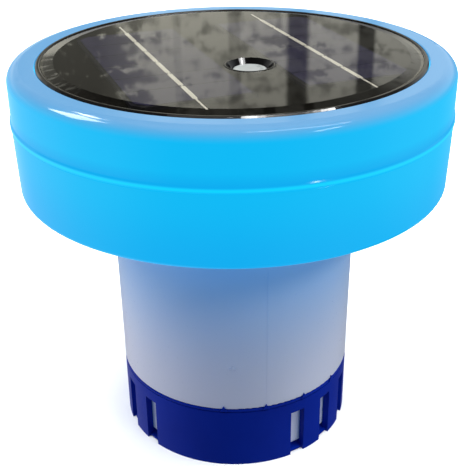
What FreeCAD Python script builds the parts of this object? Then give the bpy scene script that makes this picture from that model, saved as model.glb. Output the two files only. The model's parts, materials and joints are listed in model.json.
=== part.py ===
"""Floating pool chlorine dispenser: solar float head, tablet canister and turning vent collar.

Millimetres, +Z up. The origin is the middle of the face it stands on. The front is -Y.
A heading is an angle about Z, 0 at the front and positive towards +X.
"""
import FreeCAD, Part
import math
import os

Vector = FreeCAD.Vector
UP = Vector(0, 0, 1)
ORIGIN = Vector(0, 0, 0)

# Float head
HEAD_BOTTOM_Z = 118.0
HEAD_BOTTOM_R = 89.1
SEAM_Z = 147.2
SEAM_R = 90.2
SEAM_GAP = 0.2
HEAD_WALL = 2.6
SHOULDER_WALL_R = 89.6
SHOULDER_TOP_Z = 169.1
SHOULDER_ROUND = 5.0
SHOULDER_INNER_Z = 168.9
SEAM_BEAD_HEIGHT = 1.8
TRAY_SEAT_R = 78.6
TRAY_SEAT_Z = 160.4
LEDGE_LOW_Z = 158.4

# Socket for the canister's neck, and its three-start thread
SOCKET_R = 50.2
SOCKET_ROOF_Z = 139.5
SOCKET_ROOF = 2.8
POT_R = 55.0
THREAD_LEAD = 45.0
THREAD_STARTS = 3
THREAD_TURN = 30.0
LUG_Z = 128.0
LUG_R = 51.6
LUG_HEIGHT = 3.2
LUG_HALF_ANGLE = 12.0
GROOVE_R = 52.1
GROOVE_HEIGHT = 4.2

# Joint between the shells: a lip of the upper one in a rebate of the lower one, on a gasket
LIP_INNER_R = 86.0
LIP_OUTER_R = 87.4
LIP_Z = 144.7
GASKET_SEAT_Z = 143.2
FIT_GAP = 0.1

# Black panel tray, bevelled clear cover and solar array
TRAY_R = 78.3
TRAY_TOP_Z = 169.3
TRAY_BASE_Z = 161.2
TRAY_SKIN_Z = 164.4
TRAY_FLOOR_Z = 167.0
TRAY_RIM_INNER_R = 76.2
TRAY_WALL_INNER_R = 70.5
COVER_STEP_R = 74.8
COVER_R = 76.1
COVER_TOP_Z = 169.7
COVER_THICK = 0.5
COVER_FLAT_R = 71.2
COVER_DROP = 0.7
ARRAY_TURN = 20.0
ARRAY_SHIFT = (0.5, 0.3)
PANEL_OFFSET = 32.0
PANEL_SIZE = (45.0, 102.0, 1.4)
PANEL_CHAMFER = 4.0
CELL_COUNT = 6
CELL_MARGIN = 1.4
CELL_GAP = 0.6
CELL_THICK = 0.3
BUSBAR_LENGTH = 123.0
BUSBAR_WIDTH = 1.9
BUSBAR_LINK_WIDTH = 1.0
BUSBAR_THICK = 0.15
BUSBAR_PAD_GAP = 2.4

# Push button and its well, placed in the array's own directions
WELL_AT = (-0.65, 20.3)
WELL_R = 9.3
WELL_BOSS_R = 10.0
WELL_BOSS_TOP_Z = 169.9
WELL_FLOOR_Z = 165.8
CAP_R = 6.7
CAP_TOP_Z = 168.3
BORE_R = 6.77
STEM_R = 2.5
FLANGE_R = 8.6

# Electronics
BOARD_Z = 149.0
BOARD_THICK = 1.6
BOARD_TOP_Z = BOARD_Z + BOARD_THICK
BOARD_HALF_X = 42.0
BOARD_FRONT_Y = -44.0
BOARD_BACK_Y = 2.0
BOARD_SCREWS = [(-38.0, -12.0), (38.0, -12.0), (-26.0, -40.0), (26.0, -40.0)]
SWITCH_TOP_Z = 153.9
PLUNGER_TOP_Z = 155.4
PLUNGER_R = 1.7
SOCKET_XS = {"led": -36.0, "panel_left": -20.0, "battery": 6.0, "panel_right": 32.0}
PLUG_SOCKET = (9.0, 6.0, 6.0)
LED_BOARD_Z = 137.0
LED_BOARD_TOP_Z = LED_BOARD_Z + BOARD_THICK
LED_BOARD_R = (60.0, 73.0)
LED_COUNT = 12
LED_SCREW_R = 66.5
LED_SCREW_COUNT = 6
LED_SCREW_FIRST = 30.0
LEAD_R = 0.7
LEAD_PITCH = 2.2
LEAD_EXIT_Z = 153.6
LEAD_HOLE_R = 2.6
LEAD_HOLE_Y = 8.0

# Battery: one AA-size cell lying across the head
CELL_R = 7.1
CELL_LENGTH = 49.5
CELL_Y = 24.0
CELL_Z = 151.1
HOLDER_HALF_X = 29.5
HOLDER_HALF_Y = 9.0
HOLDER_WALL = 1.5
HOLDER_TOP_Z = 157.0
CONTACT_THICK = 0.4
CONTACT_LEAD_Z = 147.0

# Screws through the shells
SHELL_SCREW_R = 79.5
SHELL_SCREW_COUNT = 6
SHELL_SCREW_SEAT_Z = 137.5
TRAY_SCREW_R = 76.35
TRAY_SCREW_COUNT = 6
TRAY_SCREW_FIRST = 30.0
TRAY_SCREW_HOLE_R = 1.2
TRAY_SCREW_PILOT_R = 0.95

# Canister
CANISTER_TOP_R = 52.4
CANISTER_FOOT_R = 51.9
CANISTER_SHOULDER_Z = 117.7
CANISTER_STEP_Z = 29.9
CANISTER_FLOOR_Z = 3.2
CANISTER_FLOOR = 2.8
NECK_R = 49.4
NECK_TOP_Z = 137.0
NECK_INNER_R = 46.6
SKIRT_R = 48.7
SKIRT_INNER_R = 46.0
LAND_R = 48.92
SEAL_Z = 121.7
SEAL_CENTRE_R = 48.9
SEAL_CORD_R = 1.15

# Vent collar
COLLAR_R = 51.9
COLLAR_INNER_R = 49.0
COLLAR_FOOT_INNER_R = 43.0
COLLAR_TOP_Z = 29.7
WINDOW_COUNT = 16
WINDOW_PITCH = 18.79
WINDOW_FIRST = 31.15
WINDOW_WIDTH = 7.5
WINDOW_Z = (1.4, 23.0)
BAR_R = 50.7
BAR_Z = 0.6
PIP_HEADINGS = [-5.8, 14.2, 34.2, 54.2]
SLOT_STEP = 20.0
SLOT_COUNT = 3


# ---------------------------------------------------------------- shape helpers

def rounded_wire(corners, place):
    """Closed wire round corners given as (a, b, rounding radius), placed by place(a, b)."""
    count = len(corners)
    stretches = []
    for index, (a, b, radius) in enumerate(corners):
        here = Vector(a, b, 0)
        if radius == 0:
            stretches.append((here, None, here))
            continue
        before = corners[index - 1]
        after = corners[(index + 1) % count]
        back = Vector(before[0], before[1], 0).sub(here).normalize()
        ahead = Vector(after[0], after[1], 0).sub(here).normalize()
        half = back.getAngle(ahead) / 2
        bisector = back.add(ahead).normalize()
        reach = radius / math.tan(half)
        middle = here + bisector * (radius / math.sin(half) - radius)
        stretches.append((here + back * reach, middle, here + ahead * reach))
    edges = []
    for index, (start, middle, end) in enumerate(stretches):
        last_end = stretches[index - 1][2]
        if last_end.distanceToPoint(start) > 1e-6:
            edges.append(Part.LineSegment(place(last_end), place(start)).toShape())
        if middle is not None:
            edges.append(Part.Arc(place(start), place(middle), place(end)).toShape())
    return Part.Wire(Part.__sortEdges__(edges))


def turned(corners):
    """Solid of revolution about Z from (radius, height, rounding) corners."""
    wire = rounded_wire(corners, lambda point: Vector(point.x, 0, point.y))
    return Part.Face(wire).revolve(ORIGIN, UP, 360)


def rod(radius, low, high, x=0.0, y=0.0):
    return Part.makeCylinder(radius, high - low, Vector(x, y, low))


def ring(inner, outer, low, high):
    return rod(outer, low, high).cut(rod(inner, low - 1, high + 1))


def block(size_x, size_y, low, high, x=0.0, y=0.0):
    corner = Vector(x - size_x / 2, y - size_y / 2, low)
    return Part.makeBox(size_x, size_y, high - low, corner)


def plate(size_x, size_y, low, high, corner_radius, x=0.0, y=0.0):
    """Flat plate with rounded corners."""
    half_x, half_y = size_x / 2, size_y / 2
    corners = [(x - half_x, y - half_y, corner_radius), (x + half_x, y - half_y, corner_radius),
               (x + half_x, y + half_y, corner_radius), (x - half_x, y + half_y, corner_radius)]
    wire = rounded_wire(corners, lambda point: Vector(point.x, point.y, low))
    return Part.Face(wire).extrude(UP * (high - low))


def around(radius, heading):
    angle = math.radians(heading)
    return radius * math.sin(angle), -radius * math.cos(angle)


def headings(count, first=0.0):
    return [first + 360.0 * index / count for index in range(count)]


def turn(shape, degrees):
    copy = shape.copy()
    copy.rotate(ORIGIN, UP, degrees)
    return copy


def sector(inner, outer, low, high, heading, width):
    """Piece of a ring, width degrees wide, centred on a heading."""
    outside = Part.makeCylinder(outer, high - low, Vector(0, 0, low), UP, width)
    inside = rod(inner, low - 1, high + 1)
    return turn(outside.cut(inside), heading - 90 - width / 2)


def fuse_all(shapes):
    return shapes[0].multiFuse(shapes[1:]).removeSplitter()


def cut_all(shape, tools):
    return shape.cut(Part.makeCompound(tools)) if len(tools) > 1 else shape.cut(tools[0])


def helical_bar(inner, outer, height, low_turn, high_turn):
    """Bar of rectangular section along a right-hand helix that passes +X at height 0.

    low_turn and high_turn are its two ends, in degrees about Z.
    """
    middle = (inner + outer) / 2
    rise = THREAD_LEAD * (high_turn - low_turn) / 360
    spine = Part.Wire(Part.makeHelix(THREAD_LEAD, rise, middle).Edges)
    half = height / 2
    section = Part.makePolygon([Vector(inner, 0, -half), Vector(outer, 0, -half), Vector(outer, 0, half),
                                Vector(inner, 0, half), Vector(inner, 0, -half)])
    bar = spine.makePipeShell([section], True, True)
    bar.rotate(ORIGIN, UP, low_turn)
    bar.translate(UP * (THREAD_LEAD * low_turn / 360))
    return bar


def screw(x, y, head_low, head_height, head_r, shank_r, shank_top):
    """Screw driven upwards, with a rounded head and a cross recess in its lower face."""
    head = turned([(0, head_low, 0), (head_r, head_low, head_height * 0.45),
                   (head_r, head_low + head_height, 0), (0, head_low + head_height, 0)])
    shank = turned([(0, head_low + head_height, 0), (shank_r, head_low + head_height, 0),
                    (shank_r, shank_top - shank_r, 0), (0, shank_top, 0)])
    recess_depth = head_height * 0.5
    slot = block(head_r * 1.1, head_r * 0.28, head_low, head_low + recess_depth)
    recess = slot.fuse(turn(slot, 90))
    body = head.fuse(shank).removeSplitter().cut(recess)
    body.translate(Vector(x, y, 0))
    return body


def screw_down(x, y, seat_z, head_height, head_r, shank_r, tip_z):
    """Screw driven downwards: the same screw turned over."""
    body = screw(0, 0, 0, head_height, head_r, shank_r, head_height + seat_z - tip_z)
    body.rotate(ORIGIN, Vector(1, 0, 0), 180)
    body.translate(Vector(x, y, seat_z + head_height))
    return body


def lead(points, bend):
    """Insulated wire along straight runs joined by tangent arcs, and its volume checked."""
    edges = []
    start = Vector(*points[0])
    for index in range(1, len(points) - 1):
        here = Vector(*points[index])
        back = Vector(*points[index - 1]).sub(here).normalize()
        ahead = Vector(*points[index + 1]).sub(here).normalize()
        half = back.getAngle(ahead) / 2
        bisector = back.add(ahead).normalize()
        enter = here + back * (bend / math.tan(half))
        leave = here + ahead * (bend / math.tan(half))
        middle = here + bisector * (bend / math.sin(half) - bend)
        edges.append(Part.LineSegment(start, enter).toShape())
        edges.append(Part.Arc(enter, middle, leave).toShape())
        start = leave
    edges.append(Part.LineSegment(start, Vector(*points[-1])).toShape())
    path = Part.Wire(edges)
    heading = Vector(*points[1]).sub(Vector(*points[0]))
    section = Part.Wire(Part.makeCircle(LEAD_R, Vector(*points[0]), heading))
    tube = path.makePipeShell([section], True, False)
    expected = math.pi * LEAD_R ** 2 * path.Length
    if not tube.isValid() or abs(tube.Volume - expected) > 0.01 * expected:
        raise ValueError("a lead's tube does not match its length")
    return tube


def array_point(across, along):
    """Point of the solar array: across its two panels and along them towards the front."""
    angle = math.radians(ARRAY_TURN)
    across += ARRAY_SHIFT[0]
    along += ARRAY_SHIFT[1]
    return (across * math.cos(angle) + along * math.sin(angle),
            across * math.sin(angle) - along * math.cos(angle))


def array_block(size_across, size_along, low, high, across, along):
    solid = turn(block(size_across, size_along, low, high), ARRAY_TURN)
    x, y = array_point(across, along)
    solid.translate(Vector(x, y, 0))
    return solid


WELL_X, WELL_Y = array_point(*WELL_AT)
CELL_PITCH = (PANEL_SIZE[1] - 2 * CELL_MARGIN + CELL_GAP) / CELL_COUNT
CELL_PLACES = [(index - (CELL_COUNT - 1) / 2) * CELL_PITCH for index in range(CELL_COUNT)]


# ---------------------------------------------------------------- float head shells

def make_upper_shell():
    """Shoulder ring: a small bead at the seam, a lip down into the lower shell, a ledge for the tray."""
    inner_wall = SHOULDER_WALL_R - HEAD_WALL
    ledge_inner = 70.0
    curtain_r = TRAY_SEAT_R + 2.2
    bead_top = SEAM_Z + SEAM_BEAD_HEIGHT
    shell = turned([
        (SEAM_R, SEAM_Z, 0.3), (SEAM_R, bead_top, 0.6), (SHOULDER_WALL_R + 0.05, bead_top + 0.9, 1.2),
        (SHOULDER_WALL_R, SHOULDER_TOP_Z, SHOULDER_ROUND),
        (TRAY_SEAT_R, SHOULDER_INNER_Z, 0.4), (TRAY_SEAT_R, TRAY_SEAT_Z, 0), (ledge_inner, TRAY_SEAT_Z, 0),
        (ledge_inner, LEDGE_LOW_Z, 0), (curtain_r, LEDGE_LOW_Z, 0.8),
        (curtain_r, SHOULDER_TOP_Z - HEAD_WALL - 0.3, 1.0),
        (inner_wall, SHOULDER_TOP_Z - HEAD_WALL, SHOULDER_ROUND - HEAD_WALL),
        (LIP_INNER_R, LIP_Z, 0), (LIP_OUTER_R, LIP_Z, 0), (LIP_OUTER_R, SEAM_Z, 0)])
    boss_r, pilot_r, pilot_top = 4.2, 1.5, 159.0
    bosses = []
    pilots = []
    for heading in headings(SHELL_SCREW_COUNT):
        x, y = around(SHELL_SCREW_R, heading)
        bosses.append(rod(boss_r, SEAM_Z, LEDGE_LOW_Z + 0.5, x, y))
        pilots.append(rod(pilot_r, SEAM_Z - 1, pilot_top, x, y))
    shell = fuse_all([shell] + bosses)
    tray_holes = [rod(TRAY_SCREW_HOLE_R, LEDGE_LOW_Z - 1, TRAY_SEAT_Z + 1, *around(TRAY_SCREW_R, heading))
                  for heading in headings(TRAY_SCREW_COUNT, TRAY_SCREW_FIRST)]
    return cut_all(shell, pilots + tray_holes)


def make_lower_shell():
    """Bowl with a rebate at its top edge, screw columns, and the threaded pot for the canister's neck."""
    top_z = SEAM_Z - SEAM_GAP
    floor_z = HEAD_BOTTOM_Z + HEAD_WALL
    pot_top = SOCKET_ROOF_Z + SOCKET_ROOF
    mouth_bevel = 0.8
    rebate_r = LIP_OUTER_R + 2 * FIT_GAP
    seat_inner, seat_under_z, haunch_z = 85.4, 141.5, 140.0
    wall_top_r, wall_foot_r = 86.9, 86.5
    shell = turned([
        (SOCKET_R, HEAD_BOTTOM_Z + mouth_bevel, 0), (SOCKET_R + mouth_bevel, HEAD_BOTTOM_Z, 0),
        (HEAD_BOTTOM_R, HEAD_BOTTOM_Z, 2.5), (SEAM_R - 0.4, top_z, 0.3), (rebate_r, top_z, 0),
        (rebate_r, GASKET_SEAT_Z, 0), (seat_inner, GASKET_SEAT_Z, 0), (seat_inner, seat_under_z, 0),
        (wall_top_r, haunch_z, 0), (wall_foot_r, floor_z, 2.0), (POT_R, floor_z, 1.5),
        (POT_R, pot_top, 1.5), (0, pot_top, 0), (0, SOCKET_ROOF_Z, 0), (SOCKET_R, SOCKET_ROOF_Z, 0)])
    solids = [shell]
    holes = []
    column_r, head_room_r, shank_room_r = 4.4, 3.3, 1.7
    column_top, head_seat_z = 146.0, SHELL_SCREW_SEAT_Z
    post_r, post_pilot_r, post_pilot_depth = 3.2, 1.05, 6.0
    stud_r, stud_pilot_r, stud_pilot_depth = 2.8, 0.95, 7.0
    for heading in headings(SHELL_SCREW_COUNT):
        x, y = around(SHELL_SCREW_R, heading)
        solids.append(rod(column_r, floor_z - 1, column_top, x, y))
        holes.append(rod(head_room_r, HEAD_BOTTOM_Z - 1, head_seat_z, x, y))
        holes.append(rod(shank_room_r, head_seat_z - 0.5, top_z, x, y))
    for x, y in BOARD_SCREWS:
        solids.append(rod(post_r, pot_top - 1, BOARD_Z, x, y))
        holes.append(rod(post_pilot_r, BOARD_Z - post_pilot_depth, BOARD_Z + 1, x, y))
    for heading in headings(LED_SCREW_COUNT, LED_SCREW_FIRST):
        x, y = around(LED_SCREW_R, heading)
        solids.append(rod(stud_r, floor_z - 1, LED_BOARD_Z, x, y))
        holes.append(rod(stud_pilot_r, LED_BOARD_Z - stud_pilot_depth, LED_BOARD_Z + 1, x, y))
    shell = cut_all(fuse_all(solids), holes)
    stop_margin = 2.5
    low_turn = (HEAD_BOTTOM_Z - 4 - LUG_Z) * 360 / THREAD_LEAD
    for start in headings(THREAD_STARTS, THREAD_TURN):
        groove = helical_bar(SOCKET_R - 0.8, GROOVE_R, GROOVE_HEIGHT, low_turn, LUG_HALF_ANGLE + stop_margin)
        groove.translate(UP * LUG_Z)
        shell = shell.cut(turn(groove, start))
    return shell


def make_shell_gasket():
    return ring(LIP_INNER_R - FIT_GAP, LIP_OUTER_R - FIT_GAP, GASKET_SEAT_Z + FIT_GAP, LIP_Z - FIT_GAP)


def make_shell_screws():
    head_height, head_r, shank_r, tip_z = 2.4, 2.8, 1.4, 158.0
    head_low = SHELL_SCREW_SEAT_Z - head_height
    return [screw(*around(SHELL_SCREW_R, heading), head_low, head_height, head_r, shank_r, tip_z)
            for heading in headings(SHELL_SCREW_COUNT)]


# ---------------------------------------------------------------- panel tray and solar array

def make_panel_tray():
    """Black tray: a beaded rim, a shallow floor for the panels and a dished well round the button."""
    step_z = COVER_TOP_Z - COVER_THICK - COVER_DROP
    tray = turned([
        (0, TRAY_SKIN_Z, 0), (TRAY_WALL_INNER_R, TRAY_SKIN_Z, 0.8), (TRAY_WALL_INNER_R, TRAY_BASE_Z, 0),
        (TRAY_R, TRAY_BASE_Z, 0.5), (TRAY_R, TRAY_TOP_Z, 1.0), (TRAY_RIM_INNER_R, TRAY_TOP_Z, 0.7),
        (TRAY_RIM_INNER_R, step_z, 0), (COVER_STEP_R, step_z, 0), (COVER_STEP_R, TRAY_FLOOR_Z, 0),
        (0, TRAY_FLOOR_Z, 0)])
    boss = turned([(0, TRAY_BASE_Z, 0), (WELL_BOSS_R, TRAY_BASE_Z, 0), (WELL_BOSS_R, WELL_BOSS_TOP_Z, 0.4),
                   (0, WELL_BOSS_TOP_Z, 0)])
    boss.translate(Vector(WELL_X, WELL_Y, 0))
    tray = fuse_all([tray, boss])
    dish = turned([(0, WELL_FLOOR_Z, 0), (BORE_R + 0.3, WELL_FLOOR_Z, 0),
                   (WELL_R - 1.2, WELL_FLOOR_Z + 1.6, 1.2), (WELL_R, WELL_BOSS_TOP_Z, 0),
                   (WELL_R, WELL_BOSS_TOP_Z + 1, 0), (0, WELL_BOSS_TOP_Z + 1, 0)])
    dish.translate(Vector(WELL_X, WELL_Y, 0))
    bore = rod(BORE_R, TRAY_BASE_Z - 1, WELL_FLOOR_Z + 1, WELL_X, WELL_Y)
    flange_room = rod(FLANGE_R + 0.4, TRAY_BASE_Z - 1, 163.4, WELL_X, WELL_Y)
    pilots = [rod(TRAY_SCREW_PILOT_R, TRAY_BASE_Z - 1, 166.4, *around(TRAY_SCREW_R, heading))
              for heading in headings(TRAY_SCREW_COUNT, TRAY_SCREW_FIRST)]
    lead_holes = [rod(LEAD_HOLE_R, TRAY_SKIN_Z - 1, TRAY_FLOOR_Z + 1, SOCKET_XS[side], LEAD_HOLE_Y)
                  for side in ("panel_left", "panel_right")]
    return cut_all(tray, [dish, bore, flange_room] + pilots + lead_holes)


def make_panel_cover():
    """Thin clear sheet, flat over the cells, with a sloping border down to its edge."""
    high, low = COVER_TOP_Z, COVER_TOP_Z - COVER_THICK
    cover = turned([
        (0, low, 0), (COVER_FLAT_R, low, 0), (COVER_R, low - COVER_DROP, 0),
        (COVER_R, high - COVER_DROP, 0), (COVER_FLAT_R, high, 0.8), (0, high, 0)])
    return cover.cut(rod(WELL_BOSS_R + 0.15, low - 1, high + 1, WELL_X, WELL_Y))


def make_tray_gasket():
    inner, outer = 71.0, 74.8
    return ring(inner, outer, TRAY_SEAT_Z, TRAY_BASE_Z)


def make_tray_screws():
    head_low, head_height, head_r, shank_r, tip_z = 157.1, 1.3, 2.0, 0.85, 165.6
    return [screw(*around(TRAY_SCREW_R, heading), head_low, head_height, head_r, shank_r, tip_z)
            for heading in headings(TRAY_SCREW_COUNT, TRAY_SCREW_FIRST)]


def panel_outline(side, margin, low, high):
    """Prism of a panel's outline less a margin all round, with its two outer corners cut off."""
    half_across = PANEL_SIZE[0] / 2 - margin
    half_along = PANEL_SIZE[1] / 2 - margin
    inner, outer = -side * half_across, side * half_across
    cut = outer - side * PANEL_CHAMFER
    points = [(inner, -half_along), (cut, -half_along), (outer, PANEL_CHAMFER - half_along),
              (outer, half_along - PANEL_CHAMFER), (cut, half_along), (inner, half_along)]
    corners = [Vector(*array_point(side * PANEL_OFFSET + across, along), low) for across, along in points]
    return Part.Face(Part.makePolygon(corners + corners[:1])).extrude(UP * (high - low))


def make_solar_panel(side):
    """Dark laminate under six cells, relieved where it passes the button's well."""
    low, high = TRAY_FLOOR_Z, TRAY_FLOOR_Z + PANEL_SIZE[2]
    return panel_outline(side, 0, low, high).cut(rod(WELL_BOSS_R + 0.3, low - 1, high + 1, WELL_X, WELL_Y))


def make_solar_cells(side):
    low = TRAY_FLOOR_Z + PANEL_SIZE[2]
    outline = panel_outline(side, CELL_MARGIN, low, low + CELL_THICK)
    return [outline.common(array_block(PANEL_SIZE[0], CELL_PITCH - CELL_GAP, low, low + CELL_THICK,
                                       side * PANEL_OFFSET, along)) for along in CELL_PLACES]


def make_busbar(side):
    """Ribbon down the middle of the cells, wide on each cell, with a tail down to the tray at each end."""
    low = TRAY_FLOOR_Z + PANEL_SIZE[2] + CELL_THICK
    high = low + BUSBAR_THICK
    across = side * PANEL_OFFSET
    link = array_block(BUSBAR_LINK_WIDTH, BUSBAR_LENGTH, low, high, across, 0)
    pads = [array_block(BUSBAR_WIDTH, CELL_PITCH - BUSBAR_PAD_GAP, low, high, across, along)
            for along in CELL_PLACES]
    tail_at = (BUSBAR_LENGTH - BUSBAR_THICK) / 2
    tails = [array_block(BUSBAR_LINK_WIDTH, BUSBAR_THICK, TRAY_FLOOR_Z, high, across, end)
             for end in (-tail_at, tail_at)]
    return fuse_all([link] + pads + tails)


# ---------------------------------------------------------------- push button

def make_button_cap():
    flange_low, flange_high, dimple = 162.0, 163.2, 0.35
    groove_low, groove_high, groove_r = 164.0, 165.1, 5.8
    cap = turned([
        (0, PLUNGER_TOP_Z, 0), (STEM_R, PLUNGER_TOP_Z, 0.4), (STEM_R, flange_low, 0.5),
        (FLANGE_R, flange_low, 0.3), (FLANGE_R, flange_high, 0), (CAP_R, flange_high, 0),
        (CAP_R, groove_low, 0), (groove_r, groove_low, 0), (groove_r, groove_high, 0),
        (CAP_R, groove_high, 0), (CAP_R, CAP_TOP_Z, 0.9), (5.0, CAP_TOP_Z, 0.6),
        (4.2, CAP_TOP_Z - dimple, 0.6), (0, CAP_TOP_Z - dimple, 0)])
    cap.translate(Vector(WELL_X, WELL_Y, 0))
    return cap


def make_button_seal():
    ring_r, cord_r, height = 6.3, 0.44, 164.55
    return Part.makeTorus(ring_r, cord_r, Vector(WELL_X, WELL_Y, height))


def make_tact_switch():
    size, corner, pocket_floor = 6.2, 0.6, 151.2
    body = plate(size, size, BOARD_TOP_Z, SWITCH_TOP_Z, corner, WELL_X, WELL_Y)
    pocket = rod(PLUNGER_R + 0.06, pocket_floor, SWITCH_TOP_Z + 1, WELL_X, WELL_Y)
    return body.cut(pocket)


def make_switch_plunger():
    foot_z = 152.4
    plunger = turned([(0, foot_z, 0), (PLUNGER_R, foot_z, 0), (PLUNGER_R, PLUNGER_TOP_Z, 0),
                      (0, PLUNGER_TOP_Z, 0)])
    plunger.translate(Vector(WELL_X, WELL_Y, 0))
    return plunger


# ---------------------------------------------------------------- electronics

def make_main_board():
    length = BOARD_BACK_Y - BOARD_FRONT_Y
    middle_y = (BOARD_BACK_Y + BOARD_FRONT_Y) / 2
    corner, hole_r = 3.0, 1.5
    board = plate(2 * BOARD_HALF_X, length, BOARD_Z, BOARD_TOP_Z, corner, 0, middle_y)
    return cut_all(board, [rod(hole_r, BOARD_Z - 1, BOARD_TOP_Z + 1, x, y) for x, y in BOARD_SCREWS])


def make_main_board_screws():
    head_height, head_r, shank_r, tip_z = 1.5, 2.3, 0.95, BOARD_Z - 4.5
    return [screw_down(x, y, BOARD_TOP_Z, head_height, head_r, shank_r, tip_z) for x, y in BOARD_SCREWS]


def make_chip(x, y, size, height, pins):
    """Chip body with a row of legs down two sides."""
    body = plate(size, size, BOARD_TOP_Z + 0.1, BOARD_TOP_Z + height, 0.3, x, y)
    pitch = size / (pins + 1)
    leg_length, leg_width, leg_top = 0.9, 0.35, BOARD_TOP_Z + 0.4
    legs = []
    for side in (-1, 1):
        leg_x = x + side * (size / 2 + 0.35)
        for index in range(pins):
            leg_y = y - size / 2 + pitch * (index + 1)
            legs.append(block(leg_length, leg_width, BOARD_TOP_Z, leg_top, leg_x, leg_y))
    return fuse_all([body] + legs)


def make_board_passives():
    """Small capacitors and resistors, and one round coil."""
    length, width, top = 3.2, 1.8, BOARD_TOP_Z + 1.3
    places = [(-28, -24), (-28, -29), (-5, -38), (1, -38), (7, -38), (24, -18), (24, -23)]
    parts = [block(length, width, BOARD_TOP_Z, top, x, y) for x, y in places]
    coil_r, coil_top, coil_at = 3.4, BOARD_TOP_Z + 3.2, Vector(32, -31, 0)
    coil = turned([(0, BOARD_TOP_Z, 0), (coil_r, BOARD_TOP_Z, 0.4), (coil_r, coil_top, 0.4),
                   (0, coil_top, 0)])
    coil.translate(coil_at)
    return parts + [coil]


def make_lead_sockets():
    """Plug sockets along the board's back edge, each with the leads going in from behind."""
    size_x, size_y, size_z = PLUG_SOCKET
    sockets = []
    for x in SOCKET_XS.values():
        body = block(size_x, size_y, BOARD_TOP_Z, BOARD_TOP_Z + size_z, x, -size_y / 2)
        top = BOARD_TOP_Z + size_z
        notch = block(size_x - 2.4, 1.2, top - 1.6, top + 1, x, -size_y + 1.6)
        sockets.append(body.cut(notch))
    return sockets


def make_led_board():
    inner, outer = LED_BOARD_R
    hole_r = 1.2
    board = ring(inner, outer, LED_BOARD_Z, LED_BOARD_TOP_Z)
    return cut_all(board, [rod(hole_r, LED_BOARD_Z - 1, LED_BOARD_TOP_Z + 1, *around(LED_SCREW_R, heading))
                           for heading in headings(LED_SCREW_COUNT, LED_SCREW_FIRST)])


def make_led_board_screws():
    head_height, head_r, shank_r, tip_z = 1.3, 2.0, 0.85, LED_BOARD_Z - 5
    places = [around(LED_SCREW_R, heading) for heading in headings(LED_SCREW_COUNT, LED_SCREW_FIRST)]
    return [screw_down(x, y, LED_BOARD_TOP_Z, head_height, head_r, shank_r, tip_z) for x, y in places]


def make_leds():
    """Square light packages, each with a round window in its face."""
    size, height = 5.0, 1.5
    packages = []
    for heading in headings(LED_COUNT, 15):
        body = block(size, size, LED_BOARD_TOP_Z, LED_BOARD_TOP_Z + height)
        dome = Part.makeCone(2.0, 1.5, 0.4, Vector(0, 0, LED_BOARD_TOP_Z + height))
        package = turn(body.fuse(dome).removeSplitter(), heading)
        x, y = around(LED_SCREW_R, heading)
        package.translate(Vector(x, y, 0))
        packages.append(package)
    return packages


# ---------------------------------------------------------------- battery

def make_battery_cell():
    """Cell along X with a raised positive button at its +X end."""
    shoulder, button_r = CELL_LENGTH - 1.5, 2.7
    can = turned([(0, 0, 0), (CELL_R, 0, 0.6), (CELL_R, shoulder, 0.6), (button_r, shoulder, 0.2),
                  (button_r, CELL_LENGTH, 0.3), (0, CELL_LENGTH, 0)])
    can.rotate(ORIGIN, Vector(0, 1, 0), 90)
    can.translate(Vector(-CELL_LENGTH / 2, CELL_Y, CELL_Z))
    return can


def make_battery_holder():
    """Open tray with two end walls, and a slot in its front side for each contact's tab."""
    low = SOCKET_ROOF_Z + SOCKET_ROOF
    floor, corner = 1.4, 1.5
    outer = plate(2 * HOLDER_HALF_X, 2 * HOLDER_HALF_Y, low, HOLDER_TOP_Z, corner, 0, CELL_Y)
    room = block(2 * (HOLDER_HALF_X - HOLDER_WALL), 2 * (HOLDER_HALF_Y - HOLDER_WALL), low + floor,
                 HOLDER_TOP_Z + 1, 0, CELL_Y)
    slot_width, slot_depth, slot_half_height = 2.0, 4.0, 1.4
    tab_slots = [block(slot_width, slot_depth, CONTACT_LEAD_Z - slot_half_height,
                       CONTACT_LEAD_Z + slot_half_height, side * (HOLDER_HALF_X - 2.45),
                       CELL_Y - HOLDER_HALF_Y)
                 for side in (-1, 1)]
    return cut_all(outer, [room] + tab_slots)


def battery_contact_plate(side):
    """Plate at one end of the holder, with a tab out through the slot in its front side."""
    x = side * (HOLDER_HALF_X - HOLDER_WALL - 0.05 - CONTACT_THICK / 2)
    face_width, face_low, face_high = 10.0, 145.0, 155.5
    face = block(CONTACT_THICK, face_width, face_low, face_high, x, CELL_Y)
    arm_length, arm_half_height = 4.5, 1.0
    arm = block(CONTACT_THICK, arm_length, CONTACT_LEAD_Z - arm_half_height,
                CONTACT_LEAD_Z + arm_half_height, x, CELL_Y - 7.0)
    foot_width, foot_length = 1.6, 3.0
    foot = block(foot_width, foot_length, CONTACT_LEAD_Z - CONTACT_THICK / 2,
                 CONTACT_LEAD_Z + CONTACT_THICK / 2, x - side * 0.6, CELL_Y - HOLDER_HALF_Y)
    return fuse_all([face, arm, foot])


def make_battery_contact():
    dimple_r, dimple_x = 2.0, CELL_LENGTH / 2
    plate_x = HOLDER_HALF_X - HOLDER_WALL - 0.05 - CONTACT_THICK
    dimple = Part.makeCylinder(dimple_r, plate_x - dimple_x, Vector(dimple_x, CELL_Y, CELL_Z),
                               Vector(1, 0, 0))
    return fuse_all([battery_contact_plate(1), dimple])


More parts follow.
